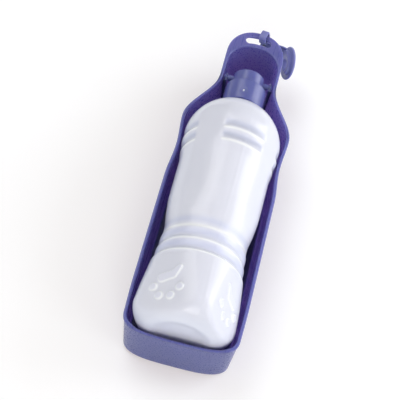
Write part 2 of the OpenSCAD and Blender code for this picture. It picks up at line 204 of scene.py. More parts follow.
# %% [markdown]
# ## The camera
#
# The bottle is seen from its foot end, from well above and from far away, so its
# sides hardly converge. A long lens does that. The view is also turned a
# little, so the camera's own right and up are mixed by the roll angle.

# %% Camera
# The camera's axes before the roll, as unit vectors, and its place in metres.
BACK = np.array([0.01270, -0.52692, 0.84982])
RIGHT = np.array([0.99971, 0.02410, 0.0])
UP = np.cross(BACK, RIGHT)
ROLL = math.radians(13.48)
CAMERA_PLACE = np.array([17.77, -738.88, 1210.91]) / 1000.0
# The focal length counts in pixels of a frame that is FRAME pixels wide.
SENSOR_MM, FRAME, FOCAL = 36.0, 400.0, 1879.0
# The view's middle lies off the lens's axis by this, in widths of the frame.
SHIFT_X, SHIFT_Y = -0.0443, -0.0093


def facing(right, up, back, place):
    """A matrix that holds an object's own axes and its place as columns."""
    matrix = np.eye(4)
    matrix[:3] = np.column_stack([right, up, back, place])
    return Matrix(matrix.tolist())


def make_camera():
    """A camera turned about its view by the roll: right' = right cos + up sin
    and up' = up cos - right sin."""
    right = math.cos(ROLL) * RIGHT + math.sin(ROLL) * UP
    up = -math.sin(ROLL) * RIGHT + math.cos(ROLL) * UP
    lens = bpy.data.cameras.new("studio_camera")
    lens.sensor_width = SENSOR_MM
    lens.lens = SENSOR_MM * FOCAL / FRAME
    lens.shift_x, lens.shift_y = SHIFT_X, SHIFT_Y
    lens.clip_start, lens.clip_end = 0.05, 20.0
    camera = placed("studio_camera", lens)
    camera.matrix_world = facing(right, up, BACK, CAMERA_PLACE)
    bpy.context.scene.camera = camera
    return camera


camera = make_camera()
print("camera at", [round(v, 3) for v in camera.matrix_world.translation],
      "lens", round(camera.data.lens, 1))

# %% [markdown]
# ## Materials
#
# All the mouldings are plastic, but not the same one. The trough, the cap and
# the strap are blue polypropylene, whose surface is never quite flat: it has a
# fine moulding grain, faint flow clouds and hair scratches. The bottle is milky
# polyethylene, softer and a little translucent. A painted texture would need
# the surface laid out flat, so noise on Object coordinates gives the variation.
# Numbers that hold all over a surface are set on the shader itself.

# %% Material helpers
# Noise seldom leaves this range, so it is spread from here.
NOISE_LOW, NOISE_HIGH = 0.3, 0.7
MICRON = 0.000001


def new_material(name):
    """An empty node material with a Principled shader joined to its output."""
    material = bpy.data.materials.new(name)
    material.use_nodes = True
    tree = material.node_tree
    tree.nodes.clear()
    shader = tree.nodes.new("ShaderNodeBsdfPrincipled")
    output = tree.nodes.new("ShaderNodeOutputMaterial")
    tree.links.new(shader.outputs["BSDF"], output.inputs["Surface"])
    return material, tree, shader


def set_inputs(node, values):
    """Writes the values on the node's own sockets, by the sockets' names."""
    for socket, value in values.items():
        node.inputs[socket].default_value = value


def noise(tree, scale, detail=3.0, stretch=(1.0, 1.0, 1.0)):
    """Noise of the given scale per metre on the piece's Object coordinates. A
    stretch below 1 draws it out along that axis."""
    place = tree.nodes.new("ShaderNodeTexCoord")
    mapping = tree.nodes.new("ShaderNodeMapping")
    texture = tree.nodes.new("ShaderNodeTexNoise")
    set_inputs(mapping, {"Scale": stretch})
    set_inputs(texture, {"Scale": scale, "Detail": detail})
    tree.links.new(place.outputs["Object"], mapping.inputs["Vector"])
    tree.links.new(mapping.outputs["Vector"], texture.inputs["Vector"])
    return texture.outputs["Fac"]


def spread(tree, value, low, high):
    """Maps noise to low..high, held at the ends."""
    node = tree.nodes.new("ShaderNodeMapRange")
    set_inputs(node, {"From Min": NOISE_LOW, "From Max": NOISE_HIGH, "To Min": low, "To Max": high})
    tree.links.new(value, node.inputs["Value"])
    return node.outputs["Result"]


def two_tone(tree, value, first, second):
    """A colour between first and second by noise."""
    ramp = tree.nodes.new("ShaderNodeValToRGB")
    ends = ((NOISE_LOW, first), (NOISE_HIGH, second))
    for element, (position, colour) in zip(ramp.color_ramp.elements, ends):
        element.position = position
        element.color = (*colour, 1.0)
    tree.links.new(value, ramp.inputs["Fac"])
    return ramp.outputs["Color"]


def toned_by(tree, body, attribute, colour):
    """The colour body, moved towards another one by an attribute of the mesh's
    points. A mesh without the attribute keeps the colour body."""
    amount = tree.nodes.new("ShaderNodeAttribute")
    amount.attribute_name = attribute
    mix = tree.nodes.new("ShaderNodeMix")
    mix.data_type = "RGBA"
    mix.inputs["B"].default_value = (*colour, 1.0)
    tree.links.new(amount.outputs["Fac"], mix.inputs["Factor"])
    tree.links.new(body, mix.inputs["A"])
    return mix.outputs["Result"]


def bump(tree, shader, heights):
    """Adds heights in metres, each (socket, distance), one after the other."""
    normal = None
    for height, distance in heights:
        node = tree.nodes.new("ShaderNodeBump")
        set_inputs(node, {"Strength": 1.0, "Distance": distance})
        tree.links.new(height, node.inputs["Height"])
        if normal is not None:
            tree.links.new(normal, node.inputs["Normal"])
        normal = node.outputs["Normal"]
    tree.links.new(normal, shader.inputs["Normal"])


print("noise is spread from", NOISE_LOW, "to", NOISE_HIGH)

# %% Blue plastic of the trough, cap and strap
# Colour of a highlight painted on the gate's nub.
PAINTED_GATE_GLINT = (0.88, 0.90, 0.95)


def blue_plastic(name, dark, light, rough, clouds, depth):
    """Moulded polypropylene: flow clouds vary the colour, and long faint scratches vary the gloss.
    Scratches and grain stand one to three microns high, and the clouds thirty. Light scatters inside it
    over about depth metres, so a thin wall that is lit from outside glows a little inside. Where the
    mesh's attribute gate is 1, a highlight is painted pale on the colour."""
    material, tree, shader = new_material(name)
    cloud = noise(tree, scale=clouds, detail=4.0, stretch=(1.0, 0.35, 1.0))
    scratch = noise(tree, scale=900.0, detail=2.0, stretch=(1.0, 0.04, 1.0))
    grain = noise(tree, scale=1400.0, detail=2.0)
    # A painted highlight where the attribute gate is 1.
    body = toned_by(tree, two_tone(tree, cloud, dark, light), "gate", PAINTED_GATE_GLINT)
    tree.links.new(body, shader.inputs["Base Color"])
    tree.links.new(spread(tree, scratch, rough * 0.92, rough * 1.12), shader.inputs["Roughness"])
    bump(tree, shader, [(grain, 2.5 * MICRON), (scratch, 1.2 * MICRON), (cloud, 30.0 * MICRON)])
    set_inputs(shader, {"IOR": 1.5, "Subsurface Weight": 0.85, "Subsurface Radius": (1.0, 0.8, 1.15),
                        "Subsurface Scale": depth})
    return material


TROUGH_BLUE = blue_plastic("trough_blue", (0.088, 0.101, 0.286), (0.098, 0.112, 0.308),
                           rough=0.28, clouds=22.0, depth=0.0105)
CAP_BLUE = blue_plastic("cap_blue", (0.120, 0.136, 0.375), (0.133, 0.150, 0.400),
                        rough=0.22, clouds=40.0, depth=0.0012)
STRAP_BLUE = blue_plastic("strap_blue", (0.195, 0.208, 0.480), (0.212, 0.225, 0.505),
                          rough=0.36, clouds=60.0, depth=0.0012)
print("blue plastics:", [m.name for m in (TROUGH_BLUE, CAP_BLUE, STRAP_BLUE)])

# %% Milky plastic of the bottle
# Colours of the painted highlight on edges and of the painted shade in hollows.
PAINTED_RIDGE_HIGHLIGHT, PAINTED_HOLLOW_SHADE = (0.925, 0.948, 1.0), (0.600, 0.630, 0.805)


def milky_plastic():
    """Blown polyethylene: light scatters a few millimetres inside it, the wall is a little uneven along
    the blowing direction, and handling leaves a fine haze of scratches. A highlight is painted paler on
    the edges of the ribs, grooves and prints, and shade is painted darker in the hollows behind them:
    the mesh's own attributes say how much."""
    material, tree, shader = new_material("bottle_milk")
    cloud = noise(tree, scale=28.0, detail=4.0, stretch=(1.0, 0.3, 1.0))
    haze = noise(tree, scale=700.0, stretch=(1.0, 0.12, 1.0))
    wave = noise(tree, scale=60.0, detail=2.0, stretch=(1.0, 0.4, 1.0))
    body = two_tone(tree, cloud, (0.728, 0.742, 0.862), (0.768, 0.780, 0.882))
    # Painted shade in the hollows, then a painted highlight on the edges.
    body = toned_by(tree, body, "hollow", PAINTED_HOLLOW_SHADE)
    body = toned_by(tree, body, "ridge", PAINTED_RIDGE_HIGHLIGHT)
    tree.links.new(body, shader.inputs["Base Color"])
    tree.links.new(spread(tree, haze, 0.19, 0.215), shader.inputs["Roughness"])
    bump(tree, shader, [(haze, 0.8 * MICRON), (wave, 100.0 * MICRON)])
    set_inputs(shader, {"IOR": 1.5, "Subsurface Weight": 0.5, "Subsurface Radius": (1.0, 1.0, 1.0),
                        "Subsurface Scale": 0.003})
    return material


MILK = milky_plastic()
print("milky plastic:", MILK.name)


# %% Silicone of the washer and valve
def silicone():
    """Cloudy silicone rubber with a slight dusty bloom and a fine grain."""
    material, tree, shader = new_material("clear_silicone")
    cloud = noise(tree, scale=120.0)
    body = two_tone(tree, cloud, (0.62, 0.64, 0.62), (0.72, 0.73, 0.71))
    tree.links.new(body, shader.inputs["Base Color"])
    tree.links.new(spread(tree, noise(tree, scale=600.0), 0.42, 0.58), shader.inputs["Roughness"])
    bump(tree, shader, [(noise(tree, scale=1200.0), 10.0 * MICRON)])
    set_inputs(shader, {"Subsurface Weight": 0.4, "Subsurface Scale": 0.002})
    return material


SILICONE = silicone()
print("silicone:", SILICONE.name)

# %% [markdown]
# ## The bottle
#
# A blow-moulded bottle is round where it was blown and flat where the mould was
# flat. It could be a revolution with flats cut off it, but every cut would
# leave a sharp edge. Here its surface is a radius that depends on the place
# along a profile and on the angle round the axis: the profile gives the ribs,
# the grip and the shoulder, and four flats at the base and four above it cut it
# down softly. A heightfield like this takes the raised paw prints, the grooves
# and the mould's parting line as small changes of the radius.

# %% Sizes of the bottle
# Radii of the base, shoulder and grip, the wall's thickness, and how far the
# flats are turned about the axis, in degrees.
BASE_R, SHOULDER_R, GRIP_R, SKIN = 38.2, 36.2, 31.0, 1.2
BODY_R = GRIP_R + 0.58 * (SHOULDER_R - GRIP_R)
BASE_FILLET, TURN = 16.2, 14.0
# The cap along Y: the spout's end, the step above the collar and the open end.
SPOUT_END = AXIS_Y + 4.1
COLLAR_END = SPOUT_END - 11.5
CAP_OPEN = COLLAR_END - 18.0
# The neck's end lies under the collar's top, the washer and the seal's gap, and
# its ring lies just outside the cap.
CAP_TOP, WASHER_T, SEAL_GAP = 2.3, 1.4, 0.1
NECK_END = COLLAR_END - CAP_TOP - WASHER_T - SEAL_GAP
RING_T = 1.8
RING_Y = CAP_OPEN - 0.7 - RING_T
# The base's end, the ribs' head side, the base's top, the grip and the dome.
END_Y = FOOT_Y + 5.8
RIBS_Y, PITCH = END_Y + 74.7, 10.7
BASE_TOP = RIBS_Y - 2 * PITCH
GRIP_Y = RIBS_Y + 8.5
DOME = 28.5
SHOULDER_Y = RING_Y - DOME
UPPER_Y = SHOULDER_Y - 18.5
RIB_H, HIGH_RIB = 1.1, GRIP_R + 0.8
print("bottle from y", round(END_Y, 1), "to", round(NECK_END, 1), "mm, ribs end at", round(RIBS_Y, 1))


# %% Profile of the bottle
def arc(centre, radius_r, radius_y, first, last, count, power=2.0):
    """Points of a superellipse's arc as (radius, y): the cosine and the sine of
    the angle, in degrees, each raised to 2 / power. Power 2 is an ellipse."""
    a = np.radians(np.linspace(first, last, count))
    c, d = np.cos(a), np.sin(a)
    return np.stack([centre[0] + radius_r * np.abs(c) ** (2 / power) * np.sign(c),
                     centre[1] + radius_y * np.abs(d) ** (2 / power) * np.sign(d)], -1)


def climbed(t):
    """Radius on the straight line from the upper rib, t = 0, to the base, t = 1."""
    return HIGH_RIB + (BASE_R - HIGH_RIB) * t


def rib(y, crest):
    """One rib: it rises from the foot's side, stays nearly level and drops in a
    round edge at y."""
    low = crest - RIB_H
    return [[low - 0.1, y - PITCH + 1.1], [low + 0.55 * RIB_H, y - PITCH + 2.6], [crest, y - 6.4],
            [crest + 0.06, y - 3.4], [crest - 0.1, y - 1.9], [low + 0.45 * RIB_H, y - 0.8]]


def bottle_profile(inset):
    """(radius, y) from the middle of the base to the neck's ring, inset within
    the outside: the base's round edge, the slope up to the ribs, the ribs, the
    grip, the body and the dome. Corners are rounded over about half a
    millimetre. The inside runs straight under the ribs."""
    middle = BASE_R - BASE_FILLET
    end = [[0.0, END_Y + 1.2 + inset], [middle - 7.0, END_Y + 0.9 + inset]]
    edge = arc((middle, END_Y + BASE_FILLET), BASE_FILLET - inset, BASE_FILLET - inset, -94, 0, 24)
    slope = [[climbed(t) - inset, BASE_TOP - below]
             for t, below in ((0.77, 22.0), (0.55, 11.0), (0.38, 2.0))]
    if inset:
        ribs = [[climbed(0.14) - RIB_H - inset, BASE_TOP + 1.2], [GRIP_R - inset, RIBS_Y - PITCH + 1.2]]
    else:
        ribs = [[climbed(0.29), BASE_TOP - 0.7]] + rib(RIBS_Y - PITCH, climbed(0.14))
        ribs += rib(RIBS_Y, HIGH_RIB) + [[GRIP_R, RIBS_Y + 0.7]]
    rise = BODY_R - GRIP_R
    grip = [[GRIP_R - inset, RIBS_Y + 3.0], [GRIP_R - inset, GRIP_Y],
            [GRIP_R + 0.6 * rise - inset, GRIP_Y + 11.0], [GRIP_R + 0.96 * rise - inset, GRIP_Y + 22.0]]
    body = [[BODY_R - inset, GRIP_Y + 32.0], [BODY_R - inset, UPPER_Y - 10.0],
            [BODY_R + 0.9 - inset, UPPER_Y - 3.0], [BODY_R + 1.9 - inset, UPPER_Y + 4.0],
            [SHOULDER_R - inset, SHOULDER_Y - 6.0]]
    dome = arc((13.8, SHOULDER_Y), SHOULDER_R - 13.8 - inset, DOME - inset, 0, 84, 30, power=1.7)
    neck = [[14.0 - inset * 1.9, RING_Y - inset]]
    return softened(np.vstack([end, edge, slope, ribs, grip, body, dome, neck]), step=0.1, radius=0.45)


PROFILE = bottle_profile(0.0)
print("bottle profile:", len(PROFILE), "points, largest radius", round(PROFILE[:, 0].max(), 2))

# %% Paw prints
# A print is drawn on a flat as (across, along Y, radius): a pad bent through
# three points, and four toes. The whole print sits PRINT_SHIFT off the middle.
PAD = ((7.2, -96.5, 1.9), (3.2, -102.7, 3.2), (-4.6, -105.1, 3.6))
TOES = ((-10.3, -112.1), (-4.5, -118.9), (4.5, -118.9), (10.3, -112.1))
TOE_R, PRINT_H, PRINT_SHIFT = 3.1, 1.05, 0.8


def off_bar(x, y, first, last):
    """Signed distance to a rounded bar between two points (x, y, radius): the
    distance to the nearest point of the line, less the radius there."""
    (ax, ay, wide_a), (bx, by, wide_b) = first, last
    length = (bx - ax) ** 2 + (by - ay) ** 2
    t = np.clip(((x - ax) * (bx - ax) + (y - ay) * (by - ay)) / length, 0.0, 1.0)
    return np.hypot(x - ax - t * (bx - ax), y - ay - t * (by - ay)) - (wide_a + t * (wide_b - wide_a))


def off_paw(across, along):
    """Signed distance to the outline of the print on a flat, which is the least
    of those to its pad and its toes. It is negative inside."""
    across = across + PRINT_SHIFT
    shape = np.minimum(off_bar(across, along, PAD[0], PAD[1]), off_bar(across, along, PAD[1], PAD[2]))
    for x, y in TOES:
        shape = np.minimum(shape, np.hypot(across - x, along - y) - TOE_R)
    return shape


print("distance from a toe's middle to the print's outline:",
      round(float(off_paw(TOES[0][0] - PRINT_SHIFT, TOES[0][1])), 2), "mm")

# %% Flats, grooves and the parting line
# The lower flats start this far under the base's radius, and the upper ones this
# far above the grip's at HIGH_ON past it. Both lean, and a blend rounds their
# edges.
LOW_CUT, LOW_SLOPE, LOW_BLEND = 6.3, math.tan(math.radians(4.0)), 3.6
HIGH_RISE, HIGH_SLOPE, HIGH_BLEND, HIGH_ON = 1.4, math.tan(math.radians(1.6)), 1.6, 11.0
# Where a flat ends, its distance from the axis climbs by the first number over
# the second along Y: the lower one from LOW_END before the base's top, and the
# upper one back towards the foot from HIGH_END past the grip.
LOW_CLIMB, LOW_OVER, LOW_END = 40.0, 10.0, 4.0
HIGH_CLIMB, HIGH_OVER, HIGH_END = 22.0, 26.0, 8.0
# Each shoulder groove has a raised lip on its foot side, here along Y from
# UPPER_Y, and a hollow further on.
GROOVES = (-2.7, 7.6)
LIP_H, LIP_WIDE = 0.3, 0.9
GROOVE_DEEP, GROOVE_WIDE, GROOVE_ON = 0.9, 2.4, 3.4
# A highlight is painted in a band of this width on a rib's edge and on a groove's lip. Shade is painted
# in a wider band, so far on towards the head.
RIB_LIGHT, RIB_DARK, RIB_DARK_ON = 1.15, 2.9, 5.6
LIP_LIGHT, LIP_DARK, LIP_DARK_ON = 1.0, 2.4, 4.6
# The parting line runs along two sides, this many degrees from the flats' turn.
SEAM_TURN, SEAM_H, SEAM_WIDE = 2.0, 0.16, 0.35


def on_flats(y, angle):
    """Angle off the middle of the nearest flat, in radians, the side the print
    leans to, and the distances of the lower and upper flats from the axis. Where
    a flat ends, its distance climbs until it cuts nothing."""
    turned = (np.degrees(angle) - TURN) % 90.0 - 45.0
    which = np.floor((np.degrees(angle) - TURN) / 90.0) % 4
    low = BASE_R - LOW_CUT + LOW_SLOPE * (y - (END_Y + BASE_FILLET))
    low = low + LOW_CLIMB * ease((y - BASE_TOP + LOW_END) / LOW_OVER)
    high = GRIP_R + HIGH_RISE + HIGH_SLOPE * (y - GRIP_Y - HIGH_ON)
    high = high + HIGH_CLIMB * ease((GRIP_Y + HIGH_END - y) / HIGH_OVER)
    return np.radians(turned), np.where(which % 2 == 0, -1.0, 1.0), low, high


def in_groove(r, angle, half, fade):
    """How far a groove reaches round: 1 over a corner between two flats, and 0
    from half, in degrees, outwards, with a fade inside it. The neck has none."""
    off_corner = (np.degrees(angle) - TURN + 45.0) % 90.0 - 45.0
    return ease((half - np.abs(off_corner)) / fade) * (r > 25.0)


def bottle_radius(r, y, angle, inset):
    """Radius of the bottle for profile points (r, y) at an angle round the axis
    from the top, in radians: the profile's radius, cut down softly to each flat
    at distance d as d / cos(angle off its middle), with the print, grooves and
    parting line added. The inside has the flats only."""
    near, side, low, high = on_flats(y, angle)
    out = soft_min(r, (low - inset) / np.cos(near), LOW_BLEND)
    out = soft_min(out, (high - inset) / np.cos(near), HIGH_BLEND)
    if inset:
        return out
    flatness = ease((r - low / np.cos(near)) / 0.8)
    print_height = PRINT_H * ease(0.5 - off_paw(side * out * np.sin(near), y) / 0.8)
    out = out + print_height * (y < BASE_TOP - 3.0) * flatness
    for shift in GROOVES:
        on = y - UPPER_Y - shift
        rise = LIP_H * hump(on, LIP_WIDE) - GROOVE_DEEP * hump(on - GROOVE_ON, GROOVE_WIDE)
        out = out + rise * in_groove(r, angle, 30.0, 7.0)
    seam = (np.degrees(angle) - TURN - SEAM_TURN + 90.0) % 180.0 - 90.0
    line = SEAM_H * hump(np.radians(seam) * r, SEAM_WIDE)
    return out + line * (r > 12.0) * (y > END_Y + 4.0)


def painted_edge_light(r, y, angle):
    """How much highlight is painted, 0 to 1: on the edge of each rib, on the lip of each groove and
    round each print. The second array is how much shade is painted in the hollow behind each edge and
    lip. Each is a hump along the bottle."""
    near, side, low, _ = on_flats(y, angle)
    flat = soft_min(r, low / np.cos(near), LOW_BLEND)
    line = np.zeros(np.broadcast(r, angle).shape)
    hollow = np.zeros_like(line)
    for crest in (RIBS_Y - 0.7, RIBS_Y - PITCH - 0.8, BASE_TOP - 0.8):
        line = np.maximum(line, 1.5 * hump(y - crest, RIB_LIGHT))
        hollow = np.maximum(hollow, 0.8 * hump(y - crest - RIB_DARK_ON, RIB_DARK))
    part = in_groove(r, angle, 29.0, 5.0)
    for shift in GROOVES:
        on = y - UPPER_Y - shift
        line = np.maximum(line, 1.5 * part * hump(on, LIP_LIGHT))
        hollow = np.maximum(hollow, part * hump(on - LIP_DARK_ON, LIP_DARK))
    edge = hump(off_paw(side * flat * np.sin(near), y) + 0.1, 0.5) * (r > low / np.cos(near))
    line = np.clip(np.maximum(line, edge * (y < BASE_TOP - 3.0)), 0.0, 1.0)
    return line, hollow * (1.0 - line)


print("radius at the middle of a lower flat:",
      round(float(bottle_radius(BASE_R, END_Y + BASE_FILLET, math.radians(TURN + 45.0), 0.0)), 2), "mm")


# %% Where the bottle's points lie
def crowded(centres, width, count, fine):
    """count angles round a circle, in degrees, crowded near the centres: the
    inverse of a running sum of a density that is 1 plus fine near a centre."""
    a = np.arange(0.0, 360.0, 0.05)
    density = np.ones_like(a)
    for centre in centres:
        away = (a - centre + 180.0) % 360.0 - 180.0
        density += fine * np.exp(-((away / width) ** 4))
    total = np.concatenate([[0.0], np.cumsum(density)])
    return np.interp(np.arange(count) * total[-1] / count, total, np.append(a, 360.0))


def rows_along(profile, spacing):
    """Rows of a profile at a spacing that is a function of (radius, y)."""
    step = np.linalg.norm(np.diff(profile, axis=0), axis=1)
    total = np.concatenate([[0.0], np.cumsum(step / spacing(profile[:-1, 0], profile[:-1, 1]))])
    count = int(round(total[-1])) + 1
    at = np.linspace(0.0, total[-1], count)
    return np.stack([np.interp(at, total, profile[:, k]) for k in (0, 1)], -1)


def fineness(r, y):
    """Distance between rows, in mm: close over the prints, ribs and grooves."""
    prints = (y < BASE_TOP) & (y > END_Y + 8.0) & (r > 26.0)
    ribbed = (y >= BASE_TOP) & (y < RIBS_Y + 2.0)
    grooved = (np.abs(y - UPPER_Y - 2.0) < 10.0) & (r > 26.0)
    return np.where(prints, 0.57, np.where(ribbed | grooved, 0.65, 1.9))


OUTSIDE_ROWS = rows_along(PROFILE, fineness)
INSIDE_ROWS = rows_along(bottle_profile(SKIN)[::-1], lambda r, y: np.full(r.shape, 4.0))
print("rows outside and inside:", len(OUTSIDE_ROWS), len(INSIDE_ROWS))


# %% The bottle's mesh
def neck_line():
    """(radius, y) of the neck: its ring, three thread rings, the lip at its end
    and the bore down to the inside of the dome."""
    ring = [[14.0, RING_Y], [14.5, RING_Y + 0.1], [14.8, RING_Y + 0.5], [14.8, RING_Y + 1.4],
            [14.5, RING_Y + 1.75], [12.5, RING_Y + RING_T], [12.3, RING_Y + 2.1]]
    beads = []
    for k in range(3):
        middle = CAP_OPEN + 3.4 + 3.6 * k
        beads += [[12.3, middle - 0.9], [13.4, middle - 0.45], [13.5, middle], [13.4, middle + 0.45],
                  [12.3, middle + 0.9]]
    lip = [[12.3, NECK_END - 0.4], [12.0, NECK_END], [11.4, NECK_END], [11.1, NECK_END - 0.4]]
    return np.array(ring + beads + lip + [[11.1, RING_Y + 1.0]])


def bottle_side(rows, around, inset):
    """One side of the body's wall as a grid. Within half a millimetre of the
    axis the radius runs down to nothing, which closes the middle of the base."""
    r, y = rows[:, :1], rows[:, 1:]
    radius = bottle_radius(r, y, around[None, :], inset) * np.minimum(1.0, r / 0.5)
    return about_axis(radius, y, around)


def make_bottle():
    """The outside of the body, the neck as a plain revolution, and the inside of the body SKIN further
    in, as one grid. The last array holds the painted highlight and the painted shade at each point,
    which only the outside of the body has."""
    flats = [TURN + 45 + 90 * k for k in range(4)]
    around = np.radians(crowded(flats, width=22.0, count=300, fine=1.1))
    points = np.concatenate([bottle_side(OUTSIDE_ROWS, around, 0.0), revolved(neck_line(), around),
                             bottle_side(INSIDE_ROWS, around, SKIN)])
    painted_light = np.zeros((2,) + points.shape[:2])
    # Painted highlight and painted shade, on the outside of the body only.
    painted_light[:, :len(OUTSIDE_ROWS)] = painted_edge_light(OUTSIDE_ROWS[:, :1], OUTSIDE_ROWS[:, 1:], around[None, :])
    return points, grid_faces(len(points), len(around)), painted_light


bottle_points, bottle_faces, painted_light = make_bottle()
bottle = mesh_piece("bottle_shell", [(bottle_points, bottle_faces)], MILK, 50.0)
# The painted highlight and painted shade become attributes of the mesh.
for attribute, values in zip(("ridge", "hollow"), painted_light):
    bottle.data.attributes.new(attribute, "FLOAT", "POINT").data.foreach_set("value", values.ravel())
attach(bottle, "bottle_body")
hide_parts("bottle")

# %% [markdown]
# ## The trough
#
# The trough is a thin moulded skin. In plan it is one closed outline: round at
# the foot's corners, wide beside the bottle, drawn in at the waist, and narrow
# round the head. Its section is much the same all the way round, so the skin
# could be a bevelled curve, but a section carried round the outline as a grid
# lets the rim climb and the walls lean. At the head the rim widens into a
# flange, because there the outline of the rim and that of the bowl part.

# %% Sizes of the trough
# The wall and the floor, how far the rim stands out from the wall, and the
# height of the rim's edge, which is the flange's thickness too.
WALL, FLOOR, LIP, BEAD = 1.9, 2.0, 0.5, 2.2
# How far a wall leans for each millimetre of height, beside the bottle and at
# the foot.
DRAFT, FOOT_DRAFT = math.tan(math.radians(4.0)), math.tan(math.radians(0.5))
# The widest half of the rim leaves room for water beside the bottle. The waist
# and the step down to the head are placed as shares of the length.
SIDE_ROOM, HEAD_HALF = 2.2, 22.0
WIDEST = BASE_R + SIDE_ROOM + WALL + LIP
WAIST_DIP, WAIST_AT, WAIST_SPAN = 1.9, 0.578 * TROUGH_LEN, 0.102 * TROUGH_LEN
STEP_AT, STEP_SPAN = 0.6764 * TROUGH_LEN, 0.1564 * TROUGH_LEN
# The rim is narrower by the first number at the foot, at its full width after
# the second, and narrows from there by the third for each millimetre.
FOOT_TAPER, TAPER_LEN, SIDE_TAPER = 1.2, 40.0, 0.011
# The round ends of the outlines: their lengths and the powers of their
# superellipses, at the foot, round the rim's head and round the bowl's head. The
# bowl ends a flange's length before the rim.
FOOT_LEN, FOOT_POWER = 18.0, 3.4
RIM_END, RIM_POWER = 23.3, 2.2
BOWL_END, BOWL_POWER, FLANGE_LEN = 20.0, 2.3, 14.1
# The rim's top is lower between the foot's corners: by how much, the ramp's
# length, and how far it reaches along Y and to each side.
FOOT_DROP, DROP_RAMP, DROP_Y, DROP_X = 1.0, 0.8, 5.6, 38.8
HALF_POINTS = 150
print("widest half of the rim:", round(WIDEST, 1), "mm")


# %% Outlines in plan
def rim_half_width(s):
    """Half width over the rim at the distance s from the foot: widest near the
    foot, with a dip at the waist and an eased step down to the head."""
    taper = FOOT_TAPER * (1.0 - np.minimum(s, TAPER_LEN) / TAPER_LEN) ** 2
    taper = taper + SIDE_TAPER * np.maximum(0.0, s - TAPER_LEN)
    body = WIDEST - taper - WAIST_DIP * bell((s - WAIST_AT) / WAIST_SPAN)
    t = ease((s - STEP_AT) / STEP_SPAN)
    return body + (HEAD_HALF - body) * t


def half_outline(inset, head_s, head_depth, power):
    """Right half of an outline, foot to head, as (x, s): a round foot corner, the
    side, and a round end. Both ends are parts of superellipses
    |x/a|^n + |y/b|^n = 1."""
    a = np.radians(np.linspace(90.0, 0.0, 160))
    foot = np.stack([(rim_half_width(FOOT_LEN) - inset) * np.cos(a) ** (2 / FOOT_POWER),
                     FOOT_LEN - (FOOT_LEN - inset) * np.sin(a) ** (2 / FOOT_POWER)], -1)
    s = np.linspace(FOOT_LEN, head_s, 400)[1:]
    side = np.stack([rim_half_width(s) - inset, s], -1)
    a = np.radians(np.linspace(0.0, 90.0, 160))[1:]
    head = np.stack([(rim_half_width(head_s) - inset) * np.cos(a) ** (2 / power),
                     head_s + head_depth * np.sin(a) ** (2 / power)], -1)
    line = np.vstack([foot, side, head])
    line[0, 0] = line[-1, 0] = 0.0
    return line


def outline(inset, head_s, head_depth, power):
    """The closed outline, foot to head on the right and back on the left. The
    two halves mirror each other point by point."""
    right = evenly(half_outline(inset, head_s, head_depth, power), HALF_POINTS)
    right[0, 0] = right[-1, 0] = 0.0
    return np.vstack([right, right[-2:0:-1] * [-1.0, 1.0]])


RIM_LINE = outline(0.0, TROUGH_LEN - RIM_END, RIM_END, RIM_POWER)
BOWL_LINE = outline(LIP + WALL, TROUGH_LEN - FLANGE_LEN - BOWL_END, BOWL_END, BOWL_POWER)
print("outline points:", len(RIM_LINE), "half width", round(RIM_LINE[:, 0].max(), 1))


# %% Rings of the skin
def grown(line, d):
    """Each point of a closed line moved outwards along its normal by d, which
    is one number or one for each point."""
    along = np.roll(line, -1, 0) - np.roll(line, 1, 0)
    normal = np.stack([along[:, 1], -along[:, 0]], -1)
    return line + np.reshape(d, (-1, 1)) * normal / np.linalg.norm(normal, axis=1, keepdims=True)


def rim_height(s):
    """The rim climbs in a straight line from the foot to the head."""
    return RIM_FOOT + (RIM_HEAD - RIM_FOOT) * s / TROUGH_LEN


def foot_step(points):
    """How much lower the rim's top lies at the foot end: FOOT_DROP between the
    two corners, with a short ramp."""
    along = ease((DROP_Y - points[:, 1]) / DROP_RAMP)
    return FOOT_DROP * along * ease((DROP_X - np.abs(points[:, 0])) / DROP_RAMP)


def rim_ring(line, d, below):
    """A ring of the section that follows the rim's height, grown by d and this
    far below the top. Rings less than 2 mm below it take the step at the foot."""
    p = grown(line, d)
    z = rim_height(p[:, 1]) - below - foot_step(p) * (below < 2.0)
    return np.stack([p[:, 0], p[:, 1] + FOOT_Y, z], -1)


def low_ring(line, d, z):
    """A level ring, drawn in by the draft angle the lower it lies. The foot end
    has less draft than the sides."""
    draft = FOOT_DRAFT + (DRAFT - FOOT_DRAFT) * ease(line[:, 1] / 14.0)
    p = grown(line, d - (RIM_FOOT - z) * draft)
    return np.stack([p[:, 0], p[:, 1] + FOOT_Y, np.full(len(p), z)], -1)


def between(first, last, count):
    """count rings evenly spaced between two rings, without the two."""
    return [first + (last - first) * k / (count + 1) for k in range(1, count + 1)]


def rounded(line, d, below, radius, start, end, count):
    """A quarter round of the rim: its centre lies d out and below the rim."""
    return [rim_ring(line, d + radius * math.cos(a), below - radius * math.sin(a))
            for a in np.radians(np.linspace(start, end, count))]


print("rim's height at the foot and at the head:", rim_height(0.0), rim_height(TROUGH_LEN), "mm")

# %% The closed skin
# Radii of the fillets between floor and wall, outside and inside, and of the
# rim's three edges: the outer one below, the outer one above, and the inner one.
OUT_FILLET, IN_FILLET = 3.5, 1.5
LOW_EDGE, TOP_EDGE, IN_EDGE = 0.25, 0.75, 1.0


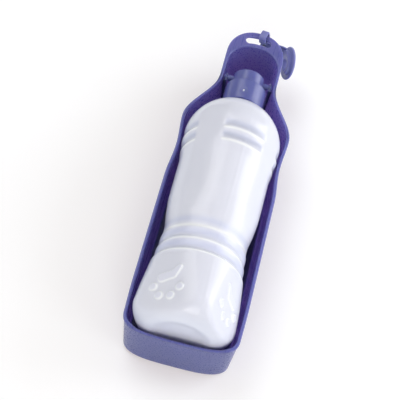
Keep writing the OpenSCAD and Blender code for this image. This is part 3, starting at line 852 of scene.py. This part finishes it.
def trough_rings():
    """The section from the floor's underside out, up, over the rim and down. A
    fillet of radius R at the angle a is R (1 - sin a) in and R (1 - cos a) up."""
    turn = np.radians(np.linspace(0.0, 90.0, 9))
    rings = [low_ring(BOWL_LINE, WALL - OUT_FILLET * (1 - math.sin(a)), OUT_FILLET * (1 - math.cos(a)))
             for a in turn]
    under = rim_ring(BOWL_LINE, WALL, BEAD)
    rings += between(rings[-1], under, 8)
    rings += [under] + between(under, rim_ring(RIM_LINE, -LOW_EDGE, BEAD), 3)
    rings += rounded(RIM_LINE, -LOW_EDGE, BEAD - LOW_EDGE, LOW_EDGE, -90, 0, 4)
    rings += rounded(RIM_LINE, -TOP_EDGE, TOP_EDGE, TOP_EDGE, 0, 90, 7)
    rings += between(rings[-1], rim_ring(BOWL_LINE, IN_EDGE, 0.0), 6)
    rings += rounded(BOWL_LINE, IN_EDGE, IN_EDGE, IN_EDGE, 90, 180, 8)
    turn = np.radians(np.linspace(90.0, 0.0, 7))
    low = [low_ring(BOWL_LINE, -IN_FILLET * (1 - math.sin(a)), FLOOR + IN_FILLET * (1 - math.cos(a)))
           for a in turn]
    rings += between(rings[-1], low[0], 8) + low
    return np.stack(rings)


def mirrored_cap(start, count, up):
    """Quads across a mirror-symmetric ring: point i on the right joins point
    count - i on the left. The two ends are triangles."""
    right = start + np.arange(count // 2 + 1)
    left = start + (count - np.arange(count // 2 + 1)) % count
    faces = [(right[0], right[1], left[1])]
    faces += [(right[i], right[i + 1], left[i + 1], left[i]) for i in range(1, count // 2 - 1)]
    faces += [(right[-2], right[-1], left[-2])]
    return faces if up else [f[::-1] for f in faces]


def trough_skin():
    """The closed skin: side quads between rings and a cap on each floor."""
    rings = trough_rings()
    count, around = rings.shape[:2]
    faces = [tuple(f) for f in grid_faces(count, around)]
    faces += mirrored_cap(0, around, False)
    faces += mirrored_cap((count - 1) * around, around, True)
    return rings, faces


print("section of", len(trough_rings()), "rings")

# %% [markdown]
# ## The slot in the flange
#
# The strap's loop slides in a curved slot. A slot that is cut sharp looks like
# paper, because a real moulding has rounded lips. So the cutter is a surface
# too: the slot's outline, carried down through the flange, and flared at the
# top and at the bottom by a quarter round.

# %% Slot
# The bar between the slot and the flange's edge, and the slot as an arc: its
# radius, half its width and half its angle in degrees.
BAR = 4.7
SLOT_R, SLOT_HALF, SLOT_SPAN = 34.0, 3.0, 12.0
SLOT_Y = TIP_Y - BAR - SLOT_HALF - SLOT_R
SLOT_LIP = 0.45


def slot_outline(grow):
    """A band about the arc of radius SLOT_R round (0, 0), wider by grow on every
    side, with round ends."""
    a = np.radians(np.linspace(-SLOT_SPAN, SLOT_SPAN, 40))
    t = np.radians(np.linspace(0.0, 180.0, 18))[1:-1]
    wide = SLOT_HALF + grow
    outer = np.stack([(SLOT_R + wide) * np.sin(a), (SLOT_R + wide) * np.cos(a)], -1)
    inner = np.stack([(SLOT_R - wide) * np.sin(a[::-1]), (SLOT_R - wide) * np.cos(a[::-1])], -1)
    ends = []
    for side in (1.0, -1.0):
        edge = math.radians(SLOT_SPAN) * side
        heading = edge + (0.0 if side > 0 else math.pi) + t
        ends.append(np.stack([SLOT_R * math.sin(edge) + wide * np.sin(heading),
                              SLOT_R * math.cos(edge) + wide * np.cos(heading)], -1))
    return np.vstack([outer, ends[0], inner, ends[1]])


def slot_cutter(top, thickness, lip):
    """Rings of the slot's outline from 1 mm under the flange to 1 mm above it. A
    quarter round of radius lip widens it by lip (1 - sin a) near both faces."""
    turn = np.radians(np.linspace(0.0, 90.0, 6))
    levels = [(lip * 1.6, top - thickness - 1.0)]
    levels += [(lip * (1 - math.sin(a)), top - thickness + lip * (1 - math.cos(a))) for a in turn]
    levels += [(lip * (1 - math.sin(a)), top - lip * (1 - math.cos(a))) for a in turn[::-1]]
    levels += [(lip * 1.6, top + 1.0)]
    rings = []
    for grow, z in levels:
        p = slot_outline(grow)
        climb = (p[:, 1] - SLOT_R) * (RIM_HEAD - RIM_FOOT) / TROUGH_LEN
        rings.append(np.stack([p[:, 0], p[:, 1] + SLOT_Y, z + climb], -1))
    rings = np.stack(rings)
    return rings, tube_faces(*rings.shape[:2])


print("slot's arc about y", round(SLOT_Y, 1), "mm, points", len(slot_outline(0.0)))

# %% [markdown]
# ## The cradles
#
# Two small plates inside the head hold the cap's pins. Each plate has a round
# bore that is open at the top. Its mouth is narrower than the pin, so the pin
# snaps in. A web ties the plate to the wall. They are outlines with a
# thickness, and a Bevel softens their edges.

# %% Cradles
# The bore, half the plate's width along Y, its bottom and its top above the
# axis, and how far out from the middle the plate and its web lie.
BORE_R, PLATE_HALF, PLATE_LOW, PLATE_TOP = 1.56, 3.2, 8.0, 1.2
PLATE_X, WEB_X = (16.2, 17.7), (17.2, 20.3)
WEB_HALF, WEB_Z = 0.8, (20.0, 36.0)


def slab(profile, x0, x1):
    """A closed (y, z) outline given a thickness from x0 to x1."""
    profile = np.asarray(profile, float)
    n = len(profile)
    low = np.column_stack([np.full(n, x0), profile])
    high = np.column_stack([np.full(n, x1), profile])
    return np.vstack([low, high]), tube_faces(2, n)


def cradle_outline():
    """The plate's outline: straight sides, and a bore open at the top between
    two lips, which runs from 54 degrees down and round to 126."""
    a = np.radians(np.linspace(54.0, -234.0, 28))
    bore = np.stack([AXIS_Y + BORE_R * np.cos(a), AXIS_Z + BORE_R * np.sin(a)], -1)
    top = AXIS_Z + PLATE_TOP
    left, right = AXIS_Y - PLATE_HALF, AXIS_Y + PLATE_HALF
    inner_r, inner_l = bore[0, 0], bore[-1, 0]
    return np.vstack([[left, PLATE_LOW], [right, PLATE_LOW], [right, top], [inner_r + 0.3, top],
                      bore, [inner_l - 0.3, top], [left, top]])


def cradle_parts():
    """Both cradles with their webs."""
    y0, y1 = AXIS_Y - WEB_HALF, AXIS_Y + WEB_HALF
    z0, z1 = WEB_Z
    web = [[y0, z0], [y1, z0], [y1, z1], [y0, z1]]
    parts = []
    for side in (1.0, -1.0):
        for outline_yz, reach in ((cradle_outline(), PLATE_X), (web, WEB_X)):
            x0, x1 = sorted((reach[0] * side, reach[1] * side))
            parts.append(slab(outline_yz, x0, x1))
    return parts


def make_trough():
    """The skin with its slot cut, and the cradles. The Boolean is applied, so
    the finished edges of the slot can be shaded smooth with the rest."""
    skin = mesh_piece("trough_shell", [trough_skin()], TROUGH_BLUE, 45.0)
    top = float(rim_height(SLOT_Y + SLOT_R - FOOT_Y))
    cutter = mesh_piece("slot_cutter", [slot_cutter(top, BEAD, SLOT_LIP)], TROUGH_BLUE)
    cut = skin.modifiers.new("slot", "BOOLEAN")
    cut.operation, cut.object, cut.solver = "DIFFERENCE", cutter, "EXACT"
    shaped = bpy.data.meshes.new_from_object(skin.evaluated_get(bpy.context.evaluated_depsgraph_get()))
    skin.modifiers.clear()
    skin.data = shaped
    shaped.polygons.foreach_set("use_smooth", np.ones(len(shaped.polygons), bool))
    shaped.set_sharp_from_angle(angle=math.radians(40))
    bpy.data.objects.remove(cutter)
    cradles = mesh_piece("pin_cradles", cradle_parts(), TROUGH_BLUE, 40.0)
    bevel = cradles.modifiers.new("edges", "BEVEL")
    bevel.width, bevel.segments, bevel.limit_method = 0.0002, 2, "ANGLE"
    return skin, cradles


trough, cradles = make_trough()
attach(trough, "trough_body")
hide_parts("trough")
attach(cradles, "trough_body")
print("trough faces after the cut:", len(trough.data.polygons))

# %% [markdown]
# ## The cap
#
# The cap is a revolution: a wide collar, a step, and a narrower spout that is
# open at the end. A Screw modifier could turn the outline, but a grid can also
# be pressed in where the plastic came into the mould: the gate's mark is a
# shallow round dimple with a nub. Small radii on the outer edges catch the
# light, and two pins stand out of the sides.

# %% Cap
COLLAR_R, SPOUT_R = 15.5, 11.7
# The gate's place along Y and round the axis, in radians, its dimple and nub, and the radius of the
# highlight painted on its middle.
GATE_Y, GATE_ANGLE = 73.5, -0.085
DIMPLE_R, DIMPLE_DEEP = 3.4, 0.22
NUB_R, NUB_H = 1.0, 0.55
GLINT_R = 0.9


def cap_outline():
    """(radius, y) round the section of the cap, outside and inside."""
    line = [[14.0, CAP_OPEN], [15.2, CAP_OPEN], [COLLAR_R, CAP_OPEN + 0.3]]
    line += [[COLLAR_R, y] for y in np.linspace(CAP_OPEN + 1.0, COLLAR_END - 1.4, 24)]
    line += arc((14.4, COLLAR_END - 1.1), 1.1, 1.1, 0, 90, 8).tolist()
    line += arc((12.2, COLLAR_END + 0.5), -0.5, -0.5, 90, 0, 5).tolist()
    line += [[SPOUT_R, y] for y in np.linspace(COLLAR_END + 1.2, SPOUT_END - 1.4, 12)]
    line += arc((10.8, SPOUT_END - 0.9), 0.9, 0.9, 0, 90, 8).tolist()
    line += arc((9.7, SPOUT_END - 0.4), 0.4, 0.4, 90, 180, 4).tolist()
    line += [[9.3, SPOUT_END - 4.9], [9.2, SPOUT_END - 5.0], [6.6, SPOUT_END - 5.0],
             [6.5, SPOUT_END - 5.1], [6.5, COLLAR_END - CAP_TOP], [14.0, COLLAR_END - CAP_TOP]]
    return np.array(line)


def cap_body():
    """The revolved section with the gate's mark pressed into the collar. Each
    point moves along its own radius, in for the dimple and out for the nub."""
    around = np.radians(np.linspace(0.0, 360.0, 241)[:-1])
    grid = revolved(cap_outline(), around)
    r = np.hypot(grid[..., 0], grid[..., 2] - AXIS_Z)
    off_gate = (around[None, :] - GATE_ANGLE + math.pi) % (2 * math.pi) - math.pi
    away = np.hypot(grid[..., 1] - GATE_Y, COLLAR_R * off_gate)
    press = -DIMPLE_DEEP * ease((DIMPLE_R - away) / 1.2) + NUB_H * ease((NUB_R - away) / 0.7)
    press = np.where(r > COLLAR_R - 0.2, press, 0.0)
    middle = np.stack([np.zeros_like(r), grid[..., 1], np.full_like(r, AXIS_Z)], -1)
    grid = middle + (grid - middle) * ((r + press) / r)[..., None]
    return grid, ring_faces(*grid.shape[:2])


def pin_part(side):
    """One pin as a revolution about the swing axis: a thick root with a rounded
    shoulder, a thin neck for the cradle and a round knob."""
    profile = [[10.2, 0.0], [10.2, 2.2], [15.3, 2.2], [15.7, 2.05], [15.9, 1.7], [15.95, 1.5],
               [17.95, 1.5], [18.0, 1.7], [18.1, 2.05], [18.35, 2.2], [18.6, 2.15], [18.8, 1.9],
               [18.9, 1.4], [18.9, 0.0]]
    x, r = np.array(profile).T[..., None]
    a = np.radians(np.linspace(0, 360, 41)[:-1])
    y = AXIS_Y + r * np.cos(a)
    grid = np.stack([np.broadcast_to(side * x, y.shape), y, AXIS_Z + r * np.sin(a)], -1)
    return grid, grid_faces(*grid.shape[:2])


def painted_gate_glint(piece):
    """How much highlight is painted on the gate's middle, at every point of the cap."""
    points = np.zeros(3 * len(piece.data.vertices))
    piece.data.vertices.foreach_get("co", points)
    points = 1000.0 * points.reshape(-1, 3)
    away = np.hypot(points[:, 0] - COLLAR_R * math.sin(GATE_ANGLE), points[:, 1] - GATE_Y)
    # A painted highlight on the nub, on the cap's upper side only.
    bright = ease((GLINT_R - away) / 0.6) * (points[:, 2] > AXIS_Z + 12.0)
    piece.data.attributes.new("gate", "FLOAT", "POINT").data.foreach_set("value", bright)


cap = mesh_piece("screw_cap", [cap_body(), pin_part(1.0), pin_part(-1.0)], CAP_BLUE, 35.0)
painted_gate_glint(cap)
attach(cap, "cap_body")
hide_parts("cap")

# %% [markdown]
# ## Inside the cap
#
# The washer, the slit valve and its ring are simple exact solids that hardly
# show, so the construction model's own meshes stay and only get a finish.

# %% Finish the small nodes
FINISHES = {"sealing_washer": SILICONE, "outlet_valve": SILICONE, "valve_retainer": CAP_BLUE}
for name, finish in FINISHES.items():
    node = nodes[name]
    node.data.materials.clear()
    node.data.materials.append(finish)
    print(name, "gets", finish.name)

# %% [markdown]
# ## The strap
#
# The strap is one soft moulding: a square loop round the bar between the slot
# and the tip, a tab that hangs from it, an arm that curves round under the
# flange, and a disc with a hub and an off-centre hole. Each could be a solid
# with bevelled edges, but the loop leans and the arm bends, so each is a
# rounded section carried along a path, or rings about its own axis.

# %% Places and sizes of the strap
# How far the loop has slid along the slot's arc, and the disc's middle, turn
# about the upright and lean.
LOOP_ANGLE = math.radians(4.7)
EYE = np.array([25.9, TIP_Y - 9.3, 31.0])
EYE_TURN, EYE_LEAN = math.radians(17.0), math.radians(15.0)
# The loop's middle, the hollow's length and height, the wall and the width, and
# how far it is turned and leans.
LOOP_Y, LOOP_Z = TIP_Y - BAR / 2, RIM_HEAD - 0.6
LOOP_L, LOOP_H, LOOP_T, LOOP_W = BAR + 1.7, BEAD + 3.4, 1.3, 5.5
LOOP_TURN, LOOP_LEAN = math.radians(8.0), math.radians(12.0)
# The arm's height above the floor, thickness and width.
ARM_Z, ARM_T, ARM_W = 31.5, 1.5, 9.0
print("loop's hollow", round(LOOP_L, 1), "by", round(LOOP_H, 1), "mm, disc's middle", EYE.round(1))


# %% Loop of the strap
def about_slot(points):
    """Turns points about the middle of the slot's arc to the loop's place."""
    c, s = math.cos(LOOP_ANGLE), math.sin(LOOP_ANGLE)
    x, y = points[..., 0], points[..., 1] - SLOT_Y
    return np.stack([c * x + s * y, SLOT_Y - s * x + c * y, points[..., 2]], -1)


def loop_axes():
    """Centre of the loop and its axes: a through the hollow, b across the bar
    and c upwards. a is turned away from X by the turn, then rises by the lean."""
    turn = LOOP_ANGLE + LOOP_TURN
    level = math.cos(LOOP_LEAN)
    a = np.array([level * math.cos(turn), -level * math.sin(turn), math.sin(LOOP_LEAN)])
    b = np.array([math.sin(turn), math.cos(turn), 0.0])
    return about_slot(np.array([0.0, LOOP_Y, LOOP_Z])), a, b, np.cross(a, b)


def rounded_box_line(y0, y1, z0, z1, radius, count):
    """A closed rectangle with round corners, count points to a corner."""
    corners = [((y1 - radius, z1 - radius), 0), ((y0 + radius, z1 - radius), 90),
               ((y0 + radius, z0 + radius), 180), ((y1 - radius, z0 + radius), 270)]
    parts = []
    for (cy, cz), first in corners:
        a = np.radians(np.linspace(first, first + 90, count))
        parts.append(np.stack([cy + radius * np.cos(a), cz + radius * np.sin(a)], -1))
    return np.vstack(parts)


def loop_part():
    """The loop: each row is a rounded rectangle about the hollow, out by so much
    and at such a place along the axis. The rows go once round the wall."""
    half, y, z = LOOP_W / 2, LOOP_L / 2, LOOP_H / 2
    section = [(-half, 0.35), (-half, 0.95), (-half + 0.1, 1.16), (-half + 0.34, LOOP_T),
               (half - 0.34, LOOP_T), (half - 0.1, 1.16), (half, 0.95), (half, 0.35),
               (half - 0.1, 0.1), (half - 0.35, 0.0), (-half + 0.35, 0.0), (-half + 0.1, 0.1)]
    centre, a, b, c = loop_axes()
    rows = []
    for along, out in section:
        line = rounded_box_line(-y - out, y + out, -z - out, z + out, 1.3 + out, 8)
        rows.append(centre + along * a + line[:, :1] * b + line[:, 1:] * c)
    grid = np.stack(rows)
    return grid, ring_faces(*grid.shape[:2])


print("loop of", len(loop_part()[1]), "faces")


# %% Arm and tab of the strap
def carried(path, across, up, wide, tall, rounding):
    """A rounded rectangle of wide by tall carried along a path. across and up
    are unit vectors at each point of the path."""
    ring = rounded_box_line(-wide / 2, wide / 2, -tall / 2, tall / 2, rounding, 5)
    grid = path[:, None, :] + ring[None, :, :1] * across[:, None, :] + ring[None, :, 1:] * up[:, None, :]
    return grid, tube_faces(*grid.shape[:2])


def arm_part():
    """The arm: a flat band on edge along a cubic curve from under the loop to
    the disc's edge. The curve through a, b, c and d is
    (1 - t)^3 a + 3t (1 - t)^2 b + 3t^2 (1 - t) c + t^3 d."""
    along = np.array([-math.sin(EYE_TURN), math.cos(EYE_TURN)])
    reach = LOOP_Y + (LOOP_L + LOOP_T) / 2 - SLOT_Y
    a = np.array([reach * math.sin(LOOP_ANGLE), SLOT_Y + reach * math.cos(LOOP_ANGLE)])
    d = EYE[:2] + 8.0 * along
    b, c = a + [10.0, -0.8], d + 5.0 * along
    t = np.linspace(0.0, 1.0, 40)[:, None]
    path = (1 - t) ** 3 * a + 3 * t * (1 - t) ** 2 * b + 3 * t * t * (1 - t) * c + t ** 3 * d
    step = np.gradient(path, axis=0)
    step /= np.linalg.norm(step, axis=1, keepdims=True)
    across = np.column_stack([-step[:, 1], step[:, 0], np.zeros(len(t))])
    up = np.tile([0.0, 0.0, 1.0], (len(t), 1))
    path = np.column_stack([path, np.full(len(t), ARM_Z)])
    return carried(path, across, up, ARM_T, ARM_W, 0.6)


def tab_part():
    """The tab: the loop's outer wall carried straight down to the arm."""
    centre, a, b, _ = loop_axes()
    level = np.array([a[0], a[1], 0.0]) / math.hypot(a[0], a[1])
    z = np.linspace(EYE[2] - 4.0, LOOP_Z, 16)
    path = centre + (LOOP_L + LOOP_T) / 2 * b - [0.0, 0.0, LOOP_Z] + z[:, None] * [0.0, 0.0, 1.0]
    return carried(path, np.tile(level, (16, 1)), np.tile(-b, (16, 1)), LOOP_W, LOOP_T, 0.4)


print("tab from z", round(EYE[2] - 4.0, 1), "to", round(LOOP_Z, 1), "mm")

# %% Disc, hub and hole of the strap
# The hole's radius and middle. The hub's radius, the far end of its middle line
# and its height. The disc's radius, half its thickness and its rounded rim's
# width.
HOLE_R, HOLE_AT = 4.6, -2.3
HUB_R, HUB_TO, HUB_H = 7.2, 3.5, 2.6
DISC_R, DISC_HALF, DISC_EDGE = 13.0, 0.9, 0.75


def eye_frame():
    """The disc's own axes: e3 out of its face, e2 along it towards the head and
    e1 across."""
    st, ct = math.sin(EYE_TURN), math.cos(EYE_TURN)
    tilt = math.radians(90.0) + EYE_LEAN
    e1 = np.array([math.cos(tilt) * ct, math.cos(tilt) * st, -math.sin(tilt)])
    e2 = np.array([-st, ct, 0.0])
    e3 = np.array([math.sin(tilt) * ct, math.sin(tilt) * st, math.cos(tilt)])
    return e1, e2, e3


def stadium(radius, first, last, count):
    """Points round a stadium whose round ends are centred at first and last on
    the second axis."""
    a = np.radians(np.linspace(0.0, 360.0, count + 1)[:-1])
    return np.stack([radius * np.cos(a), radius * np.sin(a) + np.where(np.sin(a) >= 0, last, first)], -1)


def eye_part():
    """The eye as one skin: it starts in the hole, runs over the hub's face, down
    its side to the disc, out to the disc's rim, round it and back over the other
    face into the hole. Each row is a stadium (radius, first, last, height)."""
    back = DISC_HALF
    low = -back - HUB_H
    rows = [(HOLE_R, HOLE_AT, HOLE_AT, 0.4), (HOLE_R, HOLE_AT, HOLE_AT, low + 0.4),
            (4.75, HOLE_AT, HOLE_AT, low + 0.1), (5.0, HOLE_AT, HOLE_AT, low),
            (6.7, HOLE_AT, HUB_TO, low), (7.05, HOLE_AT, HUB_TO, low + 0.12),
            (HUB_R, HOLE_AT, HUB_TO, low + 0.5), (HUB_R, HOLE_AT, HUB_TO, -back - 0.5),
            (7.3, HOLE_AT, HUB_TO, -back - 0.15), (7.6, HOLE_AT, HUB_TO, -back),
            (9.5, HOLE_AT * 0.6, 1.6, -back), (12.3, 0.0, 0.0, -back)]
    rows += [(DISC_R - DISC_EDGE + DISC_EDGE * math.cos(a), 0.0, 0.0, DISC_HALF * math.sin(a))
             for a in np.radians(np.linspace(-90.0, 90.0, 9))]
    rows += [(12.0, 0.0, 0.0, back), (8.0, HOLE_AT * 0.6, HOLE_AT * 0.6, back),
             (5.0, HOLE_AT, HOLE_AT, back), (4.7, HOLE_AT, HOLE_AT, back - 0.1),
             (HOLE_R, HOLE_AT, HOLE_AT, back - 0.4)]
    count = 96
    grid = np.stack([np.column_stack([stadium(radius, first, last, count), np.full(count, height)])
                     for radius, first, last, height in rows])
    e1, e2, e3 = eye_frame()
    grid = EYE + grid[..., :1] * e1 + grid[..., 1:2] * e2 + grid[..., 2:] * e3
    return grid, ring_faces(*grid.shape[:2])


strap = mesh_piece("strap_with_eye", [loop_part(), tab_part(), arm_part(), eye_part()], STRAP_BLUE, 40.0)
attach(strap, "strap_body")
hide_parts("hanging_strap")

# %% [markdown]
# ## Floor and light
#
# The floor is a plain pale sheet. A brighter lamp could turn it white, but it
# would burn out the bottle too. So the floor glows a little for the camera,
# and keeps the object's soft shadow where less light falls on it. The lamps
# are large, which keeps their reflections soft. The key lamp stands high on the
# left of the head, a slightly warm one lights the foot, and two stand on the
# right, one lower and nearer the head and one nearer the foot. A pale sky
# fills the rest.

# %% Floor
# The sheet's colour is a little cool and its glow warm, so the two together
# look neutral.
FLOOR_TONE, FLOOR_GLOW, GLOW = (0.73, 0.80, 0.87, 1.0), (1.0, 0.76, 0.55, 1.0), 0.30
FLOOR_HALF = 6.0


def combined(tree, operation, first, second):
    """A Math node's result: first comes from a socket, second from a socket or a
    number."""
    node = tree.nodes.new("ShaderNodeMath")
    node.operation = operation
    tree.links.new(first, node.inputs[0])
    if isinstance(second, float):
        node.inputs[1].default_value = second
    else:
        tree.links.new(second, node.inputs[1])
    return node.outputs[0]


def make_floor():
    """A wide sheet under the trough. Light Path adds the glow only for rays that
    come from the camera, a reflection or a view through plastic."""
    material, tree, shader = new_material("white_floor")
    set_inputs(shader, {"Base Color": FLOOR_TONE, "Roughness": 0.9, "Specular IOR Level": 0.1,
                        "Emission Color": FLOOR_GLOW})
    rays = tree.nodes.new("ShaderNodeLightPath").outputs
    seen = combined(tree, "MAXIMUM", rays["Is Camera Ray"], rays["Is Glossy Ray"])
    seen = combined(tree, "MAXIMUM", seen, rays["Is Transmission Ray"])
    tree.links.new(combined(tree, "MULTIPLY", seen, GLOW), shader.inputs["Emission Strength"])
    half = FLOOR_HALF
    mesh = bpy.data.meshes.new("floor")
    corners = [(-half, -half, 0), (half, -half, 0), (half, half, 0), (-half, half, 0)]
    mesh.from_pydata(corners, [], [(0, 1, 2, 3)])
    mesh.materials.append(material)
    floor = placed("floor", mesh)


make_floor()
print("floor", 2 * FLOOR_HALF, "m wide, glow", GLOW)

# %% Lamps and sky
# Name, place in metres, side in metres, power in watts and colour.
WHITE, WARM = (1.0, 1.0, 1.0), (1.0, 0.975, 0.94)
LAMPS = (("key_lamp", (-0.55, 0.45, 1.00), 0.90, 5.6, WHITE),
         ("front_lamp", (0.10, -1.20, 0.65), 0.80, 6.8, WARM),
         ("right_softbox", (0.95, 0.45, 0.42), 0.80, 7.2, WHITE),
         ("side_fill", (1.10, -0.60, 0.55), 0.60, 2.6, WHITE))
AIM = (0.0, 0.0, 0.03)
SKY = 0.42


def area_lamp(name, place, size, power, colour):
    """A square lamp that faces AIM, near the bottle's middle. Its back points
    away from there, and its right lies level."""
    data = bpy.data.lights.new(name, "AREA")
    data.shape, data.size, data.energy, data.color = "SQUARE", size, power, colour
    lamp = placed(name, data)
    away = np.array(place, float) - AIM
    back = away / np.linalg.norm(away)
    right = np.cross([0.0, 0.0, 1.0], back)
    right /= np.linalg.norm(right)
    lamp.matrix_world = facing(right, np.cross(back, right), back, place)


for lamp in LAMPS:
    area_lamp(*lamp)
world = bpy.data.worlds.new("pale_sky")
bpy.context.scene.world = world
world.use_nodes = True
set_inputs(world.node_tree.nodes["Background"], {"Color": (1.0, 1.0, 1.0, 1.0), "Strength": SKY})
bpy.context.scene.view_settings.view_transform = "Standard"
